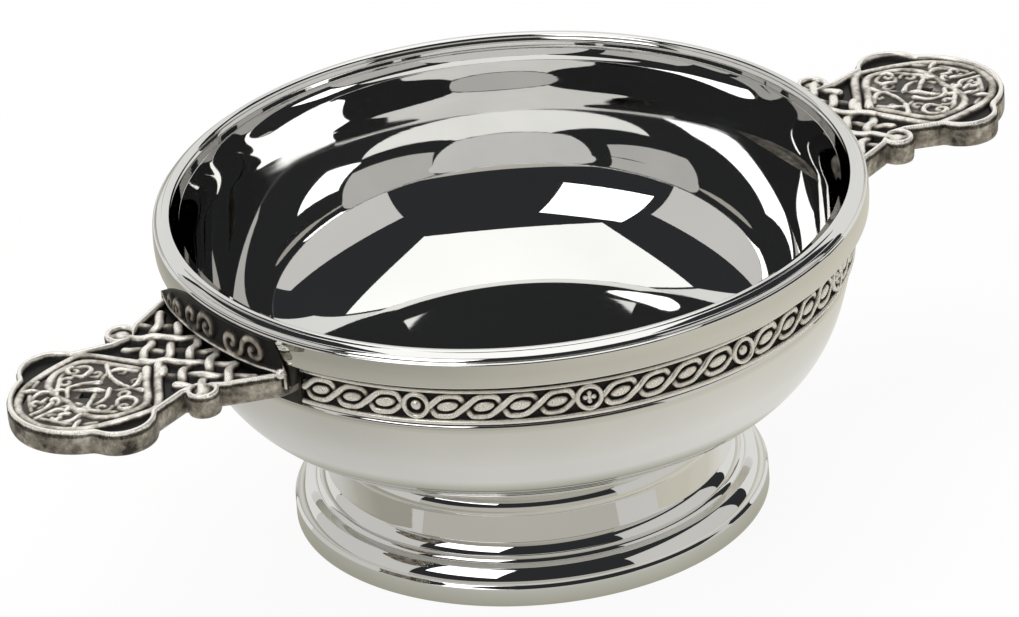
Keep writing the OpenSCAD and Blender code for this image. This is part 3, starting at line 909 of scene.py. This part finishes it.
def lug_points(points):
    """From a lug's own frame to the part's, for the lug on +X."""
    x, y, z = points.T
    cos, sin = math.cos(LUG_DROOP), math.sin(LUG_DROOP)
    return np.stack([SEAT_R + x * cos + z * sin, y, LUG_ROOT_Z - x * sin + z * cos], -1)


def outline_loop(faces):
    """The vertices round the open edge of a sheet of four-sided faces, in order."""
    edges = dict.fromkeys(pair for a, b, c, d in faces for pair in ((a, b), (b, c), (c, d), (d, a)))
    after = {a: b for a, b in edges if (b, a) not in edges}
    loop = [next(iter(after))]
    while after[loop[-1]] != loop[0]:
        loop.append(after[loop[-1]])
    return loop


def lug_plate():
    """Vertices, faces and wear of the carved plate, with its sides and plain underside."""
    xs = np.arange(LUG_BACK_X, LUG_LEN + 0.4, LUG_CELL)
    ys = np.arange(-LUG_HALF_W, LUG_HALF_W + 0.1, LUG_CELL)
    x, y = np.meshgrid(xs, ys, indexing="ij")
    dist = lug_distance(x, y)
    inside = dist < -0.02
    cell = inside[:-1, :-1] & inside[1:, :-1] & inside[:-1, 1:] & inside[1:, 1:]
    touch = np.zeros(inside.shape, int)
    for di in (0, 1):
        for dj in (0, 1):
            touch[di:touch.shape[0] - 1 + di, dj:touch.shape[1] - 1 + dj] += cell
    used = touch > 0
    at_edge = used & (touch < 4)
    grad_x, grad_y = np.gradient(dist, LUG_CELL)
    size = np.maximum(np.hypot(grad_x, grad_y), TINY)
    out_x, out_y = grad_x / size, grad_y / size
    for _ in range(2):
        left = lug_distance(x, y)
        x = np.where(at_edge, x - left * out_x, x)
        y = np.where(at_edge, y - left * out_y, y)
    count = int(used.sum())
    index = np.full(inside.shape, -1)
    index[used] = np.arange(count)
    height = np.full(x.shape, LUG_GROUND)
    height[used] = lug_height(x[used], y[used], lug_distance(x, y)[used])
    shades = [wear(height, LUG_GROUND, crest=0.0, reach=6)[used]]
    verts = [np.stack([x[used], y[used], np.minimum(height[used], 0)], -1)]
    ci, cj = np.nonzero(cell)
    corners = [index[ci + di, cj + dj] for di, dj in ((0, 0), (1, 0), (1, 1), (0, 1))]
    faces = np.stack(corners, -1).tolist()
    row = outline_loop(faces)
    around = len(row)
    edge = np.stack([x, y], -1)[used][row]
    out = np.stack([out_x, out_y], -1)[used][row]
    for outward, depth in WALL_STEPS:
        verts.append(np.column_stack([edge + outward * out, np.full(around, -depth)]))
        shades.append(np.full(around, WALL_SHADE))
        new = list(range(count, count + around))
        count += around
        for i in range(around):
            j = (i + 1) % around
            faces.append([row[j], row[i], new[i], new[j]])
        row = new
    faces.append(row[::-1])
    return np.vstack(verts), faces, np.concatenate(shades)


PAD_LEDGE_INSET = 0.6
PAD_STEPS = 48


def lug_pad():
    """The curved root pad with its ledge under the collar."""
    ledge_r = COLLAR_R - PAD_LEDGE_INSET
    ledge_z = UPSTAND_FOOT_Z - SOLDER_GAP
    section = [(STRIP_R, STRIP_Z0), (PAD_R, STRIP_Z0), (PAD_R, ledge_z), (ledge_r, ledge_z),
               (ledge_r, STRIP_Z1), (STRIP_R, STRIP_Z1)]
    section = round_corners(section + section[:1], radius=0.2)[:-1]
    angles = np.linspace(-PAD_HALF_ANGLE, PAD_HALF_ANGLE, PAD_STEPS + 1)
    verts = np.array([(r * math.cos(a), r * math.sin(a), z) for a in angles for r, z in section])
    return verts, capped_tube(len(angles), len(section)), np.full(len(verts), PAD_SHADE)


# Scrolls on the upstand: place along it, height and reach
UPSTAND_SCROLLS = ((-10.6, 48.9, 1.5), (-1.6, 50.1, 2.3), (9.8, 50.0, 2.5))
SCROLL_TURNS, SCROLL_W, SCROLL_DIP = 1.15, 1.35, 0.3
UPSTAND_GROUND, UPSTAND_CREST, UPSTAND_RIDGE = 0.2, 0.94, 0.7
UPSTAND_BRIGHT = 0.72
UPSTAND_LINE_Z = 47.75
FAR_FALL, NEAR_FALL, FALL_H, FALL_POWER = 13.0, 3.0, 5.2, 1.5
THINNING, THINNING_FROM = 0.6, 0.7


def s_scroll(x, y, reach):
    """Centre line of an S with a curl at each end."""
    half = spiral(x - reach, y, reach, SCROLL_TURNS, 0)
    return np.vstack([half, 2 * np.array((x, y)) - half[-2::-1]])


def lug_upstand():
    """The carved plate that stands up from the lug against the collar, falling away to one side."""
    reach = UPSTAND_HALF_ANGLE * UPSTAND_R
    columns, rows = 300, 46
    along = np.linspace(-reach, reach, columns + 1)
    past = np.clip((np.abs(along) - reach) / np.where(along < 0, FAR_FALL, NEAR_FALL) + 1, 0, 1)
    rise = UPSTAND_TOP_Z - FALL_H * past**FALL_POWER - UPSTAND_FOOT_Z
    a = np.repeat(along[:, None], rows + 1, axis=1)
    z = UPSTAND_FOOT_Z + rise[:, None] * np.linspace(0, 1, rows + 1)[None]
    lines = [s_scroll(*place) for place in UPSTAND_SCROLLS]
    shape = (SCROLL_W, UPSTAND_CREST, SCROLL_DIP, UPSTAND_GROUND)
    height = strand_field(a.ravel(), z.ravel(), lines, [[] for _ in lines], *shape).reshape(a.shape)
    side = edge_ridge(reach - np.abs(a), width=0.8, outer_round=0.25, inner_round=0.3)
    line = edge_ridge(np.abs(z - UPSTAND_LINE_Z), width=0.35, outer_round=0.01, inner_round=0.3)
    height = np.maximum(height, UPSTAND_GROUND + UPSTAND_RIDGE * np.maximum(side, line))
    shade = UPSTAND_BRIGHT * wear(height, UPSTAND_GROUND, UPSTAND_CREST, reach=5)
    height *= 1 - THINNING * np.clip((np.abs(a) / reach - THINNING_FROM) / (1 - THINNING_FROM), 0, 1)
    return carved_sheet(UPSTAND_R, a / UPSTAND_R, height, z, shade)


CORNER_R, CORNER_OUT, CORNER_ANGLE, CORNER_Z = 0.85, 57.9, 18.2, 47.9
PELLET_SHADE = 0.8
POLE_SHARE = 0.98


def corner_pellet():
    """A small ball at one corner of the root, with flat poles."""
    rings, turns = 11, 16
    pole = math.pi / 2 * POLE_SHARE
    place = np.array((*polar((0, 0), CORNER_OUT, CORNER_ANGLE), CORNER_Z))
    verts = place + CORNER_R * ball(-pole, pole, rings, turns)
    return verts, capped_tube(rings, turns), np.full(len(verts), PELLET_SHADE)


def build_lug(name, plate, turn):
    """A lug with its root pad, upstand and corner pellet, turned about the bowl's axis."""
    flat, plate_faces, plate_shades = plate
    parts = [(lug_points(flat), plate_faces, plate_shades), lug_pad(), lug_upstand(), corner_pellet()]
    faces, start = [], 0
    for part_verts, part_faces, _ in parts:
        faces += [[v + start for v in face] for face in part_faces]
        start += len(part_verts)
    x, y, z = np.vstack([part[0] for part in parts]).T
    cos, sin = math.cos(turn), math.sin(turn)
    verts = np.stack([x * cos - y * sin, x * sin + y * cos, z], -1)
    return cast_piece(name, verts, faces, np.concatenate([part[2] for part in parts]))


plate = lug_plate()
lug_right = build_lug("lug_right_carved", plate, 0)
lug_left = build_lug("lug_left_carved", plate, math.pi)

for piece, node, slot in (
    (bowl, "bowl", "polished_pewter"),
    (rim, "rim_wire", "polished_pewter"),
    (foot, "foot", "polished_pewter"),
    (band_front, "knot_band_front", "antique_pewter"),
    (band_back, "knot_band_back", "antique_pewter"),
    (lug_left, "lug_left", "antique_pewter"),
    (lug_right, "lug_right", "antique_pewter"),
):
    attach(piece, "root")
    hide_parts(node)


# Studio, in metres, laid out from the camera: X to the right of the view, Y away from it


VIEW_TURN = math.radians(-31)
CARD_FOOT_Z = 0.002
BOWL_FLOOR_Z = 0.025
LAMP_TARGET = (0, 0, 0.03)
TOP_H = 1.5
KEY_FAR = 1.5
LOW_CARD_H = 0.3
ROOM_R = 6
ROOM_SUNK = 0.01
FLOOR_HALF = 5
WHITE = (1, 1, 1)
SOFT_WHITE = (1, 1, 0.98)
WARM_WHITE = (1, 0.985, 0.95)
LOW_WARM = (1, 0.97, 0.88)
ROOM_DARK = (0.03, 0.031, 0.033)


def studio(point):
    """From the studio's layout to the part's frame, in metres."""
    x, y, z = point
    cos, sin = math.cos(VIEW_TURN), math.sin(VIEW_TURN)
    return (x * cos - y * sin, x * sin + y * cos, z)


def set_surface(tree, shader):
    """Makes a shader the material's surface, in place of the one it came with."""
    tree.nodes.remove(tree.nodes["Principled BSDF"])
    tree.links.new(shader, tree.nodes["Material Output"].inputs[0])


def emission(tree, color, strength):
    """An emission shader; returns its output."""
    return add_node(tree, "ShaderNodeEmission", {0: color, 1: strength})[0]


def stage_mesh(name, points, faces, material):
    """A stage object from points in the studio's layout."""
    mesh = bpy.data.meshes.new(name)
    mesh.from_pydata([studio(p) for p in points], [], faces)
    mesh.materials.append(material)
    obj = add_object(name, mesh)
    return obj


def reflected(name, points, faces, color, strength):
    """A glowing stage object, seen in reflections and not by the camera."""
    material, tree = new_material(name)
    set_surface(tree, emission(tree, (*color, 1), strength))
    stage_mesh(name, points, faces, material).visible_camera = False


def toward(azimuth, elevation):
    """A corner of the key card by its direction from the bowl: clockwise from straight ahead, and up."""
    a, e = math.radians(azimuth), math.radians(elevation)
    level = KEY_FAR * math.cos(e)
    return (level * math.sin(a), level * math.cos(a), BOWL_FLOOR_Z + KEY_FAR * math.sin(e))


def standing(x0, y0, x1, y1, top):
    """Corners of an upright card between two places on the floor."""
    return [(x0, y0, CARD_FOOT_Z), (x1, y1, CARD_FOOT_Z), (x1, y1, top), (x0, y0, top)]


TOP_SHAPE = ((-0.5, -0.42), (0.49, -0.42), (0.48, 0.66), (-0.5, 0.66))
TOP_CORNERS = [(TOP_H * x, TOP_H * y, TOP_H) for x, y in TOP_SHAPE]
KEY_CORNERS = [toward(*corner) for corner in ((-166, 52.5), (-122.5, 52.5), (-122.5, 26), (-159, 26))]
BACK_CORNERS = [(-1.3, 0.9, 0.01), (1.5, 0.8, 0.01), (1.08, 0.97, 1.42), (-0.74, 0.98, 1.42)]

for name, corners, color, strength in (
    ("card_top", TOP_CORNERS, SOFT_WHITE, 1.28),
    ("card_key", KEY_CORNERS, WHITE, 2.6),
    ("card_left", standing(-1.38, -0.71, -1.55, 1.29, 1.31), WARM_WHITE, 0.7),
    ("card_right", standing(1.74, 0.605, 1.1, -1.1, 1.12), WARM_WHITE, 0.7),
    ("card_back", BACK_CORNERS, SOFT_WHITE, 0.88),
    ("card_front", standing(-1.0, -1.0, 1.0, -1.0, LOW_CARD_H), LOW_WARM, 0.55),
    ("card_corner", standing(-1.38, -0.71, -1.0, -1.0, LOW_CARD_H), LOW_WARM, 0.55),
):
    reflected(name, corners, [[0, 1, 2, 3]], color, strength)


dome_rings, dome_turns = 13, 48
dome_points = ROOM_R * ball(0, math.pi / 2, dome_rings, dome_turns) - (0, 0, ROOM_SUNK)
reflected("room_dark", dome_points.tolist(), tube_faces(dome_rings, dome_turns), ROOM_DARK, 1)


def floor_painted_light(tree):
    """The floor as the metal shows it: a painted contact shadow right at the foot, a painted pool of light
    round it, dimmer further off and to the left.
    """
    place = object_place(tree)
    reach = add_node(tree, "ShaderNodeVectorMath", {0: place}, "LENGTH")["Value"]
    side = add_node(tree, "ShaderNodeVectorMath", {0: place, 1: studio((1, 0, 0))}, "DOT_PRODUCT")["Value"]
    spread = map_range(tree, reach, low=0, high=1, start=0.038, end=0.158)
    # Painted contact shadow at the foot's edge, then a painted pool of light that fades with distance
    color = ramp_node(tree, spread, [
        (0.0, (0.45, 0.44, 0.36)), (0.09, (0.76, 0.755, 0.72)), (0.2, (0.76, 0.75, 0.71)),
        (0.42, (0.59, 0.57, 0.49)), (1.0, (0.52, 0.5, 0.42))])
    per_metre, dimmest, brightest = 2.2, 0.7, 1.25
    slant = math_node(tree, "ADD", 1, math_node(tree, "MULTIPLY", side, per_metre))
    level = math_node(tree, "MINIMUM", math_node(tree, "MAXIMUM", slant, dimmest), brightest)
    return emission(tree, color, level)


def floor_material():
    """Pale floor: white to the camera, with painted light and a painted contact shadow in the metal, and
    keeping part of the object's shadow.
    """
    material, tree = new_material("floor_white")
    path = add_node(tree, "ShaderNodeLightPath", {})
    camera = path["Is Camera Ray"]
    mirrored = math_node(tree, "MAXIMUM", path["Is Glossy Ray"], path["Is Transmission Ray"])
    glow_share = 0.93
    share = math_node(tree, "MULTIPLY", math_node(tree, "MAXIMUM", camera, mirrored), glow_share)
    diffuse = add_node(tree, "ShaderNodeBsdfDiffuse", {0: (0.82, 0.82, 0.81, 1)})[0]
    white = emission(tree, (*WHITE, 1), 1)
    shown = add_node(tree, "ShaderNodeMixShader", {0: camera, 1: floor_painted_light(tree), 2: white})[0]
    set_surface(tree, add_node(tree, "ShaderNodeMixShader", {0: share, 1: diffuse, 2: shown})[0])
    return material


FLOOR_CORNERS = [(FLOOR_HALF * x, FLOOR_HALF * y, 0) for x, y in ((-1, -1), (1, -1), (1, 1), (-1, 1))]
stage_mesh("floor", FLOOR_CORNERS, [[0, 1, 2, 3]], floor_material())


# White behind everything, for the camera and for reflections that pass the set
world = bpy.data.worlds.new("studio")
bpy.context.scene.world = world
world.use_nodes = True
set_inputs(world.node_tree, world.node_tree.nodes["Background"], {0: (*WHITE, 1), 1: 1})


def soft_lamp(name, place, size, power):
    """A square area lamp aimed at the object, not seen in reflections."""
    data = bpy.data.lights.new(name, "AREA")
    data.shape = "SQUARE"
    data.size = size
    data.energy = power
    obj = add_object(name, data)
    obj.location = studio(place)
    aim = Vector(studio(LAMP_TARGET)) - obj.location
    obj.rotation_euler = aim.to_track_quat("-Z", "Y").to_euler()
    obj.visible_glossy = False
    obj.visible_camera = False


soft_lamp("lamp_top", (0.0, 0.2, 1.45), size=1.3, power=14)
soft_lamp("lamp_key", (-0.9, -0.9, 0.95), size=0.6, power=14)


def photo_camera():
    """Long lens from the front, 27 degrees above the table, rolled a little."""
    place = Vector(studio((0.0, -1.977, 1.0665)))
    target = Vector(studio((-0.00145, 0.0, 0.0333)))
    roll = math.radians(-4.55)
    ahead = (target - place).normalized()
    right = ahead.cross(Vector((0, 0, 1))).normalized()
    up = right.cross(ahead)
    across = right * math.cos(roll) + up * math.sin(roll)
    upward = up * math.cos(roll) - right * math.sin(roll)
    data = bpy.data.cameras.new("camera")
    data.sensor_width = 36
    data.sensor_fit = "HORIZONTAL"
    data.lens = 494.6
    data.clip_end = 30
    obj = add_object("camera", data)
    axes = Matrix((across, upward, -ahead)).transposed()
    obj.matrix_world = Matrix.Translation(place) @ axes.to_4x4()
    bpy.context.scene.camera = obj


photo_camera()
bpy.context.scene.view_settings.view_transform = "Standard"
